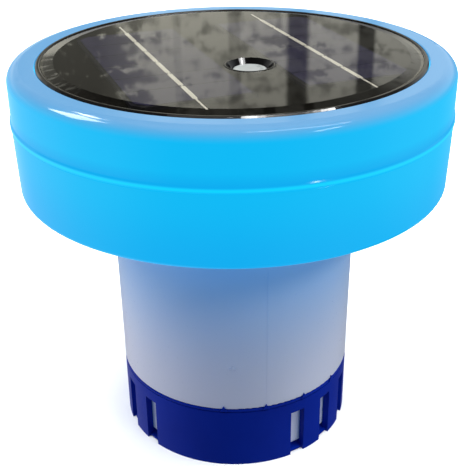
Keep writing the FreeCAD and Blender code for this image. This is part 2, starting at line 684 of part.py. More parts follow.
def make_battery_spring():
    """Coil spring between the cell's flat end and the negative plate, joined to the plate."""
    wire_r, coil_r, turns = 0.35, 3.2, 3
    start_x = -(HOLDER_HALF_X - HOLDER_WALL - 0.05 - CONTACT_THICK) + wire_r * 0.5
    end_x = -CELL_LENGTH / 2 - wire_r
    pitch = (end_x - start_x) / turns
    spine = Part.Wire(Part.makeHelix(pitch, pitch * turns, coil_r).Edges)
    section = Part.Wire(Part.makeCircle(wire_r, Vector(coil_r, 0, 0), Vector(0, 1, 0)))
    coil = spine.makePipeShell([section], True, True)
    coil.rotate(ORIGIN, Vector(0, 1, 0), 90)
    coil.translate(Vector(start_x, CELL_Y, CELL_Z))
    return fuse_all([battery_contact_plate(-1), coil])


# ---------------------------------------------------------------- internal leads

def make_panel_leads(offset):
    """One lead from each panel, down through the tray and into its socket."""
    leads = []
    for side in ("panel_left", "panel_right"):
        x = SOCKET_XS[side] + offset
        leads.append(lead([(x, LEAD_HOLE_Y, TRAY_FLOOR_Z), (x, LEAD_HOLE_Y, LEAD_EXIT_Z),
                           (x, 0.0, LEAD_EXIT_Z)], 5.0))
    return leads


def make_battery_lead(side):
    x = SOCKET_XS["battery"] + side * LEAD_PITCH / 2
    tab_x = side * (HOLDER_HALF_X - 2.35)
    turn_y = 10.0 if side > 0 else 11.0
    return lead([(tab_x, CELL_Y - HOLDER_HALF_Y - 1.5, CONTACT_LEAD_Z), (tab_x, turn_y, CONTACT_LEAD_Z),
                 (x, turn_y, LEAD_EXIT_Z), (x, 0.0, LEAD_EXIT_Z)], 2.4)


def make_led_lead(side):
    x = SOCKET_XS["led"] + side * LEAD_PITCH / 2
    turn_y = 7.5 + side * 1.8
    pad_x, pad_y = (-59.4, 19.8) if side > 0 else (-60.6, 16.0)
    return lead([(x, 0.0, LEAD_EXIT_Z), (x, turn_y, LEAD_EXIT_Z), (pad_x, pad_y, 151.0),
                 (pad_x, pad_y, LED_BOARD_TOP_Z)], 4.0)


# ---------------------------------------------------------------- canister and vent collar

def make_canister():
    inner_foot, inner_top = 49.1, 49.6
    groove_low, groove_high, groove_r = 25.4, 27.5, 47.9
    land_low, land_high = 23.4, 25.4
    seal_half, seal_floor = 1.5, SEAL_CENTRE_R - SEAL_CORD_R - 0.15
    canister = turned([
        (0, CANISTER_FLOOR_Z, 0), (SKIRT_R, CANISTER_FLOOR_Z, 1.0), (SKIRT_R, land_low, 0),
        (LAND_R, land_low, 0), (LAND_R, land_high, 0), (groove_r, groove_low, 0), (groove_r, groove_high, 0),
        (SKIRT_R, groove_high, 0), (SKIRT_R, CANISTER_STEP_Z, 0), (CANISTER_FOOT_R, CANISTER_STEP_Z, 0.6),
        (CANISTER_TOP_R, CANISTER_SHOULDER_Z, 0.5), (NECK_R, CANISTER_SHOULDER_Z, 0),
        (NECK_R, SEAL_Z - seal_half, 0), (seal_floor, SEAL_Z - seal_half, 0),
        (seal_floor, SEAL_Z + seal_half, 0), (NECK_R, SEAL_Z + seal_half, 0), (NECK_R, NECK_TOP_Z, 0.8),
        (NECK_INNER_R, NECK_TOP_Z, 0.8),
        (NECK_INNER_R, 117.0, 1.0), (inner_top, 112.0, 1.0), (inner_foot, 36.0, 1.0),
        (SKIRT_INNER_R, 29.0, 1.0), (SKIRT_INNER_R, CANISTER_FLOOR_Z + CANISTER_FLOOR, 2.0),
        (0, CANISTER_FLOOR_Z + CANISTER_FLOOR, 0)])
    slot_headings = [WINDOW_FIRST - SLOT_STEP * (index + 1) for index in range(SLOT_COUNT)]
    slots = [sector(SKIRT_INNER_R - 1, LAND_R + 1, 7.0, 22.0, heading, WINDOW_WIDTH)
             for heading in slot_headings]
    canister = cut_all(canister, slots)
    lug = helical_bar(NECK_R - 0.9, LUG_R, LUG_HEIGHT, -LUG_HALF_ANGLE, LUG_HALF_ANGLE)
    lug.translate(UP * LUG_Z)
    return fuse_all([canister] + [turn(lug, start) for start in headings(THREAD_STARTS, THREAD_TURN)]
                    + plus_mark())


def plus_mark():
    """Small raised plus on the canister's wall, the index for the collar's pips."""
    heading, height, arm, width, proud = -1.3, 50.8, 3.2, 0.8, 0.35
    wall_r = CANISTER_FOOT_R + proud
    upright = Part.makeBox(width, 2.0, arm, Vector(-width / 2, -wall_r, height - arm / 2))
    across = Part.makeBox(arm, 2.0, width, Vector(-arm / 2, -wall_r, height - width / 2))
    return [turn(upright.fuse(across).removeSplitter(), heading)]


def make_neck_seal():
    return Part.makeTorus(SEAL_CENTRE_R, SEAL_CORD_R, Vector(0, 0, SEAL_Z))


def make_vent_collar():
    low, high = WINDOW_Z
    lip_z, lip_height, lip_depth = 28.1, 0.5, 0.35
    bead_low, bead_high, bead_r = 25.9, 26.9, 48.25
    collar = turned([
        (COLLAR_FOOT_INNER_R, BAR_Z, 0), (COLLAR_R, BAR_Z, 0), (COLLAR_R, lip_z, 0),
        (COLLAR_R - lip_depth, lip_z, 0),
        (COLLAR_R - lip_depth, lip_z + lip_height, 0), (COLLAR_R, lip_z + lip_height, 0),
        (COLLAR_R, COLLAR_TOP_Z, 0.4), (COLLAR_INNER_R, COLLAR_TOP_Z, 0.3),
        (COLLAR_INNER_R, bead_high + 0.7, 0), (bead_r, bead_high, 0), (bead_r, bead_low, 0),
        (COLLAR_INNER_R, bead_low - 0.3, 0), (COLLAR_INNER_R, low, 0), (COLLAR_FOOT_INNER_R, low, 0)])
    pad_feet = ring(COLLAR_INNER_R, COLLAR_R, 0, BAR_Z + 0.5)
    windows = []
    for index in range(WINDOW_COUNT):
        heading = WINDOW_FIRST + WINDOW_PITCH * index
        windows.append(sector(COLLAR_INNER_R - 1, COLLAR_R + 1, low, high, heading, WINDOW_WIDTH))
        windows.append(sector(BAR_R, COLLAR_R + 1, -1, low, heading, WINDOW_WIDTH))
        windows.append(sector(COLLAR_INNER_R - 1, COLLAR_R + 1, -1, BAR_Z, heading, WINDOW_WIDTH))
    collar = cut_all(fuse_all([collar, pad_feet]), windows)
    return fuse_all([collar] + [make_pip(heading) for heading in PIP_HEADINGS])


def make_pip(heading):
    """Small triangular pointer on the collar's top edge, standing up just clear of the canister's wall."""
    half_width, height, sunk, depth, proud, clearance = 1.5, 2.0, 0.8, 1.2, 0.45, 0.12
    low, face_y = COLLAR_TOP_Z - sunk, -COLLAR_R - proud
    corners = [Vector(-half_width, face_y, low), Vector(half_width, face_y, low),
               Vector(0, face_y, COLLAR_TOP_Z + height)]
    outline = Part.makePolygon(corners + corners[:1])
    pip = Part.Face(outline).extrude(Vector(0, depth, 0))
    canister_room = rod(CANISTER_FOOT_R + clearance, COLLAR_TOP_Z, COLLAR_TOP_Z + height + 1)
    return turn(pip.cut(canister_room), heading)


# ---------------------------------------------------------------- output

NODES = {
    "upper_shell": make_upper_shell(),
    "lower_shell": make_lower_shell(),
    "shell_gasket": make_shell_gasket(),
    "shell_screws": make_shell_screws(),
    "panel_tray": make_panel_tray(),
    "panel_cover": make_panel_cover(),
    "tray_gasket": make_tray_gasket(),
    "tray_screws": make_tray_screws(),
    "solar_panel_left": make_solar_panel(-1),
    "solar_panel_right": make_solar_panel(1),
    "solar_cells_left": make_solar_cells(-1),
    "solar_cells_right": make_solar_cells(1),
    "busbar_left": make_busbar(-1),
    "busbar_right": make_busbar(1),
    "button_cap": make_button_cap(),
    "button_seal": make_button_seal(),
    "tact_switch": make_tact_switch(),
    "switch_plunger": make_switch_plunger(),
    "main_board": make_main_board(),
    "main_board_screws": make_main_board_screws(),
    "controller_chip": make_chip(x=-14.0, y=-28.0, size=9.0, height=1.6, pins=8),
    "charge_chip": make_chip(x=14.0, y=-31.0, size=5.0, height=1.4, pins=4),
    "board_passives": make_board_passives(),
    "lead_sockets": make_lead_sockets(),
    "led_board": make_led_board(),
    "led_board_screws": make_led_board_screws(),
    "leds": make_leds(),
    "battery_cell": make_battery_cell(),
    "battery_holder": make_battery_holder(),
    "battery_contact": make_battery_contact(),
    "battery_spring": make_battery_spring(),
    "panel_leads_red": make_panel_leads(LEAD_PITCH / 2),
    "panel_leads_black": make_panel_leads(-LEAD_PITCH / 2),
    "battery_lead_red": make_battery_lead(1),
    "battery_lead_black": make_battery_lead(-1),
    "led_lead_red": make_led_lead(1),
    "led_lead_black": make_led_lead(-1),
    "canister": make_canister(),
    "neck_seal": make_neck_seal(),
    "vent_collar": make_vent_collar(),
}

os.makedirs("parts", exist_ok=True)
for name, made in NODES.items():
    shape = Part.makeCompound(made) if isinstance(made, list) else made
    if not shape.isValid():
        raise ValueError(name + " is not a valid shape")
    print("%-20s %2d solids, %9.1f mm3" % (name, len(shape.Solids), shape.Volume))
    shape.exportStep("parts/" + name + ".step")
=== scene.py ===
"""Looks of the floating chlorine dispenser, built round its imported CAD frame.

Metres, +Z up, the front is -Y. A heading is an angle about Z, 0 at the front and positive towards +X.
"""
import json
import math

import bmesh
import bpy
from mathutils import Matrix, Vector


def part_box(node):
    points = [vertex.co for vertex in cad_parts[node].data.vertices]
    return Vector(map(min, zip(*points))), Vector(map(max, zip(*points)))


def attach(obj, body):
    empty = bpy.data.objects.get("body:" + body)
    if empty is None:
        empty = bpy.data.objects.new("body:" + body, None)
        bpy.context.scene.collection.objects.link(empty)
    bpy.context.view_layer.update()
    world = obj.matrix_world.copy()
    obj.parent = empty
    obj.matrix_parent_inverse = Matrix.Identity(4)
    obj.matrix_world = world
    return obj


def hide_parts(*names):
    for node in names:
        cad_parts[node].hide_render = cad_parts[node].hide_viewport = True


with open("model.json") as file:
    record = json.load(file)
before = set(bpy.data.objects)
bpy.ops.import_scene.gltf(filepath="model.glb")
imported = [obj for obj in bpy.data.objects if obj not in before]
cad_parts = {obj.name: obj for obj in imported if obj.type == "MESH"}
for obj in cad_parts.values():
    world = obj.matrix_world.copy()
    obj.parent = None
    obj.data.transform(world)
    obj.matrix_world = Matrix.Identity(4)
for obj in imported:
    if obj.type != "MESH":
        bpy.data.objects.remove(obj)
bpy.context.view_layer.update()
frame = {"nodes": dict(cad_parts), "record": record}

MM = 0.001

# Depth of the fine relief on every moulded surface
RELIEF = 0.5 * MM

# How far the upper shell's lip hangs below the seam, how far the button's boss stands above the tray's rim,
# and how far the tray's gloss goes in under the edge of the clear cover
SHELL_LIP = 2.5 * MM
BOSS_RISE = 0.6 * MM
GLOSS_UNDER_COVER = 1 * MM

# Places taken from the CAD frame
HEAD_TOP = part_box("panel_tray")[1].z
HEAD_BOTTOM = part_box("lower_shell")[0].z
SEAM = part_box("upper_shell")[0].z + SHELL_LIP
COLLAR_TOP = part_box("vent_collar")[1].z
TRAY_RIM_TOP = HEAD_TOP - BOSS_RISE
TRAY_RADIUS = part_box("panel_tray")[1].x
GLOSS_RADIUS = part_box("panel_cover")[1].x - GLOSS_UNDER_COVER
BUTTON = (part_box("button_cap")[0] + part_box("button_cap")[1]) / 2
WELL_RADIUS = 10.1 * MM
ARRAY_TURN = 20.0

# Camera: tilt, turn and roll in degrees
CAMERA_AT = Vector((0.0, -0.3467, 0.2635))
CAMERA_DOWN = 26.92
CAMERA_TURN = -0.07
CAMERA_ROLL = -0.74
CAMERA_LENS = 67.29

# The room that the glossy parts reflect, in belts: each goes from the front (0 and 1) by the left to the
# back (0.5) and by the right, and gives a colour at each place
UPPER_BELT = [
    (0.0, (0.09, 0.11, 0.17)), (0.08, (0.16, 0.18, 0.24)), (0.17, (0.90, 0.93, 1.05)),
    (0.27, (1.10, 1.12, 1.20)), (0.36, (0.92, 0.92, 0.88)), (0.48, (1.02, 1.00, 0.84)),
    (0.53, (0.82, 0.81, 0.71)), (0.66, (0.75, 0.77, 0.77)), (0.76, (0.66, 0.72, 0.78)),
    (0.87, (0.34, 0.40, 0.46)), (0.94, (0.13, 0.15, 0.21)), (1.0, (0.09, 0.11, 0.17)),
]
LEVEL_BELT = [
    (0.0, (0.10, 0.12, 0.18)), (0.08, (0.18, 0.20, 0.26)), (0.17, (0.90, 0.93, 1.05)),
    (0.27, (1.05, 1.07, 1.15)), (0.36, (0.62, 0.64, 0.68)), (0.49, (0.40, 0.40, 0.40)),
    (0.55, (0.16, 0.17, 0.18)), (0.66, (0.24, 0.26, 0.30)), (0.76, (0.62, 0.68, 0.74)),
    (0.87, (0.46, 0.52, 0.58)), (0.94, (0.16, 0.18, 0.24)), (1.0, (0.10, 0.12, 0.18)),
]
GROUND_BELT = [
    (0.0, 0.22), (0.12, 0.40), (0.22, 0.90), (0.34, 0.80), (0.5, 0.40),
    (0.62, 0.16), (0.76, 0.16), (0.84, 0.50), (0.92, 0.40), (1.0, 0.22),
]

# How bright the room is from straight down (0) to straight up (1): dark above about 20 degrees
BRIGHT_BY_HEIGHT = [(0.0, 0.9), (0.36, 0.9), (0.567, 1.0), (0.602, 0.85), (0.645, 0.17), (1.0, 0.16)]

# Dark posts beyond the back of the room: bearing from +Y, half width and how much light each lets past
POSTS = [(4.4, 0.7, 0.16), (8.9, 0.55, 0.16), (0.2, 0.4, 0.7), (-3.6, 0.25, 0.85)]

# How thick the leaves are across the view there, between these two bearings
LEAF_BEARINGS = (-20, 16)
LEAF_GROWTH = [
    (0.0, 0.6), (0.13, 0.7), (0.17, 1.0), (0.31, 1.0), (0.38, 0.5), (0.43, 0.05),
    (0.52, 0.1), (0.60, 0.3), (0.72, 0.25), (0.82, 0.2), (0.9, 0.0),
]


# ---------------------------------------------------------------- node helpers

class Nodes:
    """Builds one node tree, a call for each node."""

    def __init__(self, tree):
        self.tree = tree

    def add(self, kind, **settings):
        node = self.tree.nodes.new(kind)
        for name, value in settings.items():
            setattr(node, name, value)
        return node

    def link(self, source, target):
        self.tree.links.new(source, target)

    def put(self, socket, value):
        """Link a socket, or set a plain value on it."""
        if isinstance(value, bpy.types.NodeSocket):
            self.link(value, socket)
        elif isinstance(value, (tuple, list)) and len(value) == 3 and socket.type == "RGBA":
            socket.default_value = (*value, 1.0)
        else:
            socket.default_value = value

    def math(self, operation, first, second=None, third=None, clamp=False):
        node = self.add("ShaderNodeMath", operation=operation, use_clamp=clamp)
        for socket, value in zip(node.inputs, (first, second, third)):
            if value is not None:
                self.put(socket, value)
        return node.outputs[0]

    def mix(self, factor, first, second, blend="MIX"):
        """Mix two colours, on the colour sockets of the Mix node."""
        node = self.add("ShaderNodeMix", data_type="RGBA", blend_type=blend)
        self.put(node.inputs[0], factor)
        self.put(node.inputs[6], first)
        self.put(node.inputs[7], second)
        return node.outputs[2]

    def ramp(self, factor, stops):
        """Colour ramp from (position, colour) stops; a number stands for a grey."""
        node = self.add("ShaderNodeValToRGB")
        ramp = node.color_ramp
        while len(ramp.elements) < len(stops):
            ramp.elements.new(0.5)
        for element, (position, colour) in zip(ramp.elements, stops):
            element.position = position
            element.color = (*colour, 1.0) if isinstance(colour, tuple) else (colour,) * 3 + (1.0,)
        self.put(node.inputs[0], factor)
        return node.outputs[0]

    def position(self):
        """Place on the object, in the object's own metres."""
        return self.add("ShaderNodeTexCoord").outputs["Object"]

    def axes(self, vector):
        node = self.add("ShaderNodeSeparateXYZ")
        self.link(vector, node.inputs[0])
        return node.outputs

    def distance(self, across, along):
        """Length of the vector with these two parts."""
        squares = [self.math("MULTIPLY", part, part) for part in (across, along)]
        return self.math("SQRT", self.math("ADD", *squares))

    def range(self, value, low, high, to_low=0.0, to_high=1.0, smooth=False):
        node = self.add("ShaderNodeMapRange", interpolation_type="SMOOTHSTEP" if smooth else "LINEAR")
        for socket, number in zip(node.inputs, (value, low, high, to_low, to_high)):
            self.put(socket, number)
        return node.outputs[0]

    def noise(self, vector, scale, detail=2.0, roughness=0.5):
        node = self.add("ShaderNodeTexNoise")
        self.link(vector, node.inputs["Vector"])
        node.inputs["Scale"].default_value = scale
        node.inputs["Detail"].default_value = detail
        node.inputs["Roughness"].default_value = roughness
        return node.outputs[0]

    def stretch(self, vector, scale=(1, 1, 1), turn=(0, 0, 0)):
        node = self.add("ShaderNodeMapping")
        self.link(vector, node.inputs["Vector"])
        node.inputs["Scale"].default_value = scale
        node.inputs["Rotation"].default_value = turn
        return node.outputs[0]

    def bump(self, height, strength, edge=0.0):
        """Fine surface relief; edge is the radius that softens the corners of the mesh."""
        node = self.add("ShaderNodeBump")
        if edge:
            soft = self.add("ShaderNodeBevel", samples=4)
            soft.inputs["Radius"].default_value = edge
            self.link(soft.outputs[0], node.inputs["Normal"])
        self.put(node.inputs["Height"], height)
        node.inputs["Strength"].default_value = strength
        node.inputs["Distance"].default_value = RELIEF
        return node.outputs[0]


def material(name):
    """New material with a Principled shader; returns it, its node builder and the shader."""
    made = bpy.data.materials.new(name)
    made.use_nodes = True
    build = Nodes(made.node_tree)
    shader = made.node_tree.nodes["Principled BSDF"]
    return made, build, shader


def plain_plastic(name, colour, roughness, grain=0.04, specular=0.5):
    """Moulded plastic: a slight cloud in the colour, fine grain in the gloss and the surface."""
    spread = 0.12
    made, build, shader = material(name)
    place = build.position()
    cloud = build.noise(place, 60, 3)
    dark = tuple(c * (1 - spread) for c in colour)
    light = tuple(min(1.0, c * (1 + spread)) for c in colour)
    build.put(shader.inputs["Base Color"], build.mix(cloud, dark, light))
    grit = build.noise(place, 900, 3, 0.6)
    build.put(shader.inputs["Roughness"], build.range(grit, 0.3, 0.7, roughness * 0.85, roughness * 1.15))
    build.put(shader.inputs["Normal"], build.bump(grit, grain))
    shader.inputs["Specular IOR Level"].default_value = specular
    return made


# ---------------------------------------------------------------- materials

def float_glow():
    """Milky blue moulding with the light of the LEDs inside painted on as emission: brightest on the raised
    line at the seam, a painted highlight, with painted shade just above it, and a weaker, paler painted glow
    and a painted sheen on the rounded top.
    """
    made, build, shader = material("float_glow")
    place = build.position()
    x, y, z = build.axes(place)
    # Painted glow: the LEDs' light as emission, in lobes round the heading with random patches, brighter from
    # the bottom of the head up to the seam.
    heading = build.math("ARCTAN2", x, build.math("MULTIPLY", y, -1.0))
    lobes = build.math("COSINE", build.math("MULTIPLY_ADD", heading, 4.0, 2.6))
    patch = build.noise(build.stretch(place, (9, 9, 5)), 1.0, 1.0)
    drift = build.math("MULTIPLY_ADD", lobes, 0.22, build.range(patch, 0.3, 0.7, 0.2, 0.8), clamp=True)
    deep = build.mix(drift, (0.003, 0.38, 0.82), (0.004, 0.46, 0.88))
    band = build.range(z, HEAD_BOTTOM, SEAM, 0.0, 1.0, smooth=True)
    wall = build.mix(band, deep, build.mix(drift, (0.003, 0.44, 0.86), (0.003, 0.54, 0.92)))
    # Painted sheen and weaker painted glow on the rounded top: paler, dimmer emission and a paler base colour
    # there.
    painted_shoulder_sheen = build.range(z, HEAD_TOP - 6.0 * MM, HEAD_TOP - 0.6 * MM, 0.0, 1.0, smooth=True)
    glow = build.mix(painted_shoulder_sheen, wall, (0.035, 0.26, 0.55))
    above = build.math("SUBTRACT", z, SEAM)
    # Painted highlight: a bright band of emission on the raised line just above the seam.
    painted_bead_highlight = build.ramp(build.range(above, 0.2 * MM, 1.9 * MM),
                      [(0.0, 0.0), (0.3, 1.0), (0.6, 1.0), (1.0, 0.0)])
    shade = build.ramp(build.range(above, 1.6 * MM, 7.0 * MM),
                       [(0.0, 0.0), (0.1, 1.0), (0.3, 0.7), (1.0, 0.0)])
    glow = build.mix(build.math("MULTIPLY", painted_bead_highlight, 0.85), glow, (0.003, 0.66, 1.0))
    glow = build.mix(build.math("MULTIPLY", shade, 0.75), glow, (0.002, 0.36, 0.80))
    build.put(shader.inputs["Emission Color"], glow)
    shader.inputs["Emission Strength"].default_value = 1.02
    # Paler base colour on the rounded top, a painted sheen.
    build.put(shader.inputs["Base Color"], build.mix(painted_shoulder_sheen, (0.004, 0.03, 0.06), (0.14, 0.17, 0.20)))
    grit = build.noise(place, 700, 3, 0.6)
    build.put(shader.inputs["Roughness"], build.range(grit, 0.3, 0.7, 0.08, 0.12))
    build.put(shader.inputs["Normal"], build.bump(grit, 0.015))
    shader.inputs["Specular IOR Level"].default_value = 0.15
    return made


def canister_plastic():
    """White polypropylene: faint flow clouds, fine grain, and towards the top a painted blue tint and faint
    painted glow for the head's light falling on and through the wall.
    """
    made, build, shader = material("canister_plastic")
    place = build.position()
    height = build.axes(place)[2]
    cloud = build.noise(build.stretch(place, (16, 16, 9)), 1.0, 2.0)
    body = build.mix(cloud, (0.75, 0.745, 0.885), (0.83, 0.825, 0.935))
    # Painted light from the head: bluer base colour and faint emission, rising towards the head.
    lit = build.range(height, COLLAR_TOP, HEAD_BOTTOM, 0.0, 1.0, smooth=True)
    build.put(shader.inputs["Base Color"], build.mix(lit, body, (0.35, 0.60, 0.90)))
    build.put(shader.inputs["Emission Color"], build.mix(lit, (0.0, 0.020, 0.050), (0.0, 0.050, 0.15)))
    shader.inputs["Emission Strength"].default_value = 1.0
    grit = build.noise(place, 900, 3, 0.6)
    build.put(shader.inputs["Roughness"], build.range(grit, 0.3, 0.7, 0.27, 0.35))
    build.put(shader.inputs["Normal"], build.bump(grit, 0.02, edge=0.3 * MM))
    shader.inputs["Subsurface Weight"].default_value = 0.2
    shader.inputs["Subsurface Radius"].default_value = (1.0, 1.0, 1.2)
    shader.inputs["Subsurface Scale"].default_value = 4 * MM
    shader.inputs["Specular IOR Level"].default_value = 0.4
    return made


def collar_plastic():
    """Deep blue moulding with a fine satin grain."""
    made, build, shader = material("collar_plastic")
    place = build.position()
    cloud = build.noise(place, 45, 2)
    build.put(shader.inputs["Base Color"], build.mix(cloud, (0.0010, 0.018, 0.31), (0.0020, 0.029, 0.45)))
    grit = build.noise(place, 1100, 3, 0.6)
    build.put(shader.inputs["Roughness"], build.range(grit, 0.3, 0.7, 0.36, 0.46))
    build.put(shader.inputs["Normal"], build.bump(grit, 0.05, edge=0.35 * MM))
    shader.inputs["Specular IOR Level"].default_value = 0.06
    return made


def tray_gloss():
    """Black gloss on the rim and round the button; no gloss of its own where clear resin lies on it."""
    made, build, shader = material("tray_gloss")
    place = build.position()
    x, y = build.axes(place)[:2]
    from_centre = build.distance(x, y)
    from_button = build.distance(build.math("SUBTRACT", x, BUTTON.x), build.math("SUBTRACT", y, BUTTON.y))
    bare = build.math("MAXIMUM", build.math("GREATER_THAN", from_centre, GLOSS_RADIUS),
                      build.math("LESS_THAN", from_button, WELL_RADIUS))
    build.put(shader.inputs["Specular IOR Level"], build.math("MULTIPLY", bare, 0.5))
    cloud = build.noise(place, 80, 2)
    build.put(shader.inputs["Base Color"], build.mix(cloud, (0.003, 0.003, 0.003), (0.009, 0.008, 0.007)))
    smear = build.noise(place, 35, 3)
    build.put(shader.inputs["Roughness"], build.range(smear, 0.3, 0.7, 0.05, 0.10))
    return made


def cover_clear():
    """Clear sheet: see-through face on, mirror-like at a low angle."""
    made, build, shader = material("cover_clear")
    place = build.position()
    smear = build.noise(place, 28, 3)
    tree = made.node_tree
    tree.nodes.remove(shader)
    output = tree.nodes["Material Output"]
    clear = build.add("ShaderNodeBsdfTransparent")
    clear.inputs["Color"].default_value = (0.97, 0.96, 0.93, 1)
    gloss = build.add("ShaderNodeBsdfGlossy")
    gloss.inputs["Color"].default_value = (1, 1, 1, 1)
    build.put(gloss.inputs["Roughness"], build.range(smear, 0.3, 0.7, 0.01, 0.05))
    fresnel = build.add("ShaderNodeFresnel")
    fresnel.inputs["IOR"].default_value = 1.5
    outside = build.math("SUBTRACT", 1.0, build.add("ShaderNodeNewGeometry").outputs["Backfacing"])
    blend = build.add("ShaderNodeMixShader")
    build.link(build.math("MULTIPLY", fresnel.outputs[0], outside), blend.inputs[0])
    build.link(clear.outputs[0], blend.inputs[1])
    build.link(gloss.outputs[0], blend.inputs[2])
    build.link(blend.outputs[0], output.inputs["Surface"])
    return made


def cell_silicon():
    """Dark silicon with fine pale grid lines across the ribbon."""
    line_half_pitch, line_width = 0.8 * MM, 0.08 * MM
    made, build, shader = material("cell_silicon")
    place = build.stretch(build.position(), turn=(0, 0, math.radians(-ARRAY_TURN)))
    along = build.axes(place)[1]
    line = build.range(build.math("PINGPONG", along, line_half_pitch), 0.0, line_width, 1.0, 0.0)
    cloud = build.noise(place, 120, 3)
    body = build.mix(cloud, (0.020, 0.020, 0.050), (0.034, 0.032, 0.078))
    build.put(shader.inputs["Base Color"], build.mix(line, body, (0.11, 0.11, 0.14)))
    build.put(shader.inputs["Roughness"], build.range(cloud, 0.3, 0.7, 0.5, 0.6))
    shader.inputs["Specular IOR Level"].default_value = 0.0
    return made


def metal(name, colour, roughness, metallic=1.0):
    """Drawn metal: fine grain in the colour, the gloss and the surface."""
    made, build, shader = material(name)
    place = build.position()
    grit = build.noise(build.stretch(place, (300, 300, 2500)), 1.0, 3)
    dark = tuple(c * 0.8 for c in colour)
    build.put(shader.inputs["Base Color"], build.mix(grit, dark, colour))
    shader.inputs["Metallic"].default_value = metallic
    build.put(shader.inputs["Roughness"], build.range(grit, 0.3, 0.7, roughness * 0.7, roughness * 1.3))
    build.put(shader.inputs["Normal"], build.bump(grit, 0.05))
    return made


def button_plastic():
    """Pale plastic of the button's cap, with a slight swirl."""
    made, build, shader = material("button_plastic")
    place = build.position()
    swirl = build.noise(place, 220, 2)
    build.put(shader.inputs["Base Color"], build.mix(swirl, (0.46, 0.49, 0.48), (0.62, 0.65, 0.64)))
    build.put(shader.inputs["Roughness"], build.range(swirl, 0.3, 0.7, 0.25, 0.4))
    return made


# Colour and roughness of the plain plastics
PLASTICS = {
    "board_green": ((0.012, 0.15, 0.05), 0.3),
    "led_board_white": ((0.75, 0.75, 0.72), 0.35),
    "led_package": ((0.85, 0.88, 0.75), 0.25),
    "chip_black": ((0.02, 0.02, 0.022), 0.5),
    "passive_tan": ((0.40, 0.28, 0.17), 0.4),
    "switch_black": ((0.025, 0.025, 0.027), 0.45),
    "plug_ivory": ((0.72, 0.66, 0.52), 0.4),
    "cell_wrap": ((0.02, 0.16, 0.30), 0.2),
    "holder_black": ((0.025, 0.025, 0.025), 0.45),
    "lead_red": ((0.50, 0.015, 0.012), 0.4),
    "lead_black": ((0.018, 0.018, 0.02), 0.4),
}

MATERIALS = {
    "float_blue": float_glow(),
    "canister_white": canister_plastic(),
    "collar_navy": collar_plastic(),
    "panel_black": tray_gloss(),
    "clear_cover": cover_clear(),
    "panel_laminate": plain_plastic("panel_laminate", (0.014, 0.014, 0.020), 0.6, specular=0.0),
    "solar_cell": cell_silicon(),
    "ribbon": metal("ribbon", (0.94, 0.93, 0.88), 0.4, metallic=0.2),
    "button_white": button_plastic(),
    "seal_rubber": plain_plastic("seal_rubber", (0.02, 0.02, 0.021), 0.65, grain=0.1),
    "screw_steel": metal("screw_steel", (0.62, 0.61, 0.59), 0.28),
    "contact_nickel": metal("contact_nickel", (0.72, 0.70, 0.66), 0.2),
}
for plastic, (colour, roughness) in PLASTICS.items():
    MATERIALS[plastic] = plain_plastic(plastic, colour, roughness)


def dress(piece, slot):
    """Give the piece its slot's material alone."""
    piece.data.materials.clear()
    piece.data.materials.append(MATERIALS[slot])


SLOT_OF = {entry["node"]: entry["material_slot"] for entry in frame["record"]["subparts"]}
for node, piece in frame["nodes"].items():
    dress(piece, SLOT_OF[node])


# ---------------------------------------------------------------- small added pieces

def add_piece(name, points, faces, body, slot):
    """A piece from its points and faces, riding on a body and wearing a slot's material."""
    mesh = bpy.data.meshes.new(name)
    mesh.from_pydata(points, [], faces)
    mesh.validate()
    piece = bpy.data.objects.new(name, mesh)
    bpy.context.scene.collection.objects.link(piece)
    dress(piece, slot)
    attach(piece, body)
    return piece


def add_tray_edge():
    """Narrow flat at 45 degrees on the outer corner of the black rim, which catches the light as a line."""
    outer, top = TRAY_RADIUS, TRAY_RIM_TOP
    flat, depth, count = 0.59 * MM, 0.35 * MM, 180
    section = [(outer, top - flat), (outer - flat, top), (outer - flat / 2 - depth, top - flat / 2 - depth)]
    points = []
    faces = []
    for index in range(count):
        angle = 2 * math.pi * index / count
        points += [(r * math.cos(angle), r * math.sin(angle), z) for r, z in section]
        here, after = 3 * index, 3 * ((index + 1) % count)
        for side in range(3):
            other = (side + 1) % 3
            faces.append((here + side, after + side, after + other, here + other))
    add_piece("tray_edge", points, faces, "head", "panel_black")


def add_mould_lines():
    """The faint upright ridges where the canister's mould halves met."""
    low, high = COLLAR_TOP + 0.3 * MM, HEAD_BOTTOM - 1 * MM
    foot_radius, top_radius, proud, half_width = 51.9 * MM, 52.4 * MM, 0.04 * MM, 0.2 * MM
    section = [(-half_width, -proud), (0, proud), (half_width, -proud), (0, -3 * proud)]
    for name, heading in (("mould_line_front", 14.5), ("mould_line_back", 194.5)):
        turn = Matrix.Rotation(math.radians(heading), 3, "Z")
        points = []
        for z, wall in ((low, foot_radius), (high, top_radius)):
            points += [turn @ Vector((x, -(wall + out), z)) for x, out in section]
        faces = [(0, 1, 5, 4), (1, 2, 6, 5), (2, 3, 7, 6), (3, 0, 4, 7), (3, 2, 1, 0), (4, 5, 6, 7)]
        add_piece(name, points, faces, "canister", "canister_white")


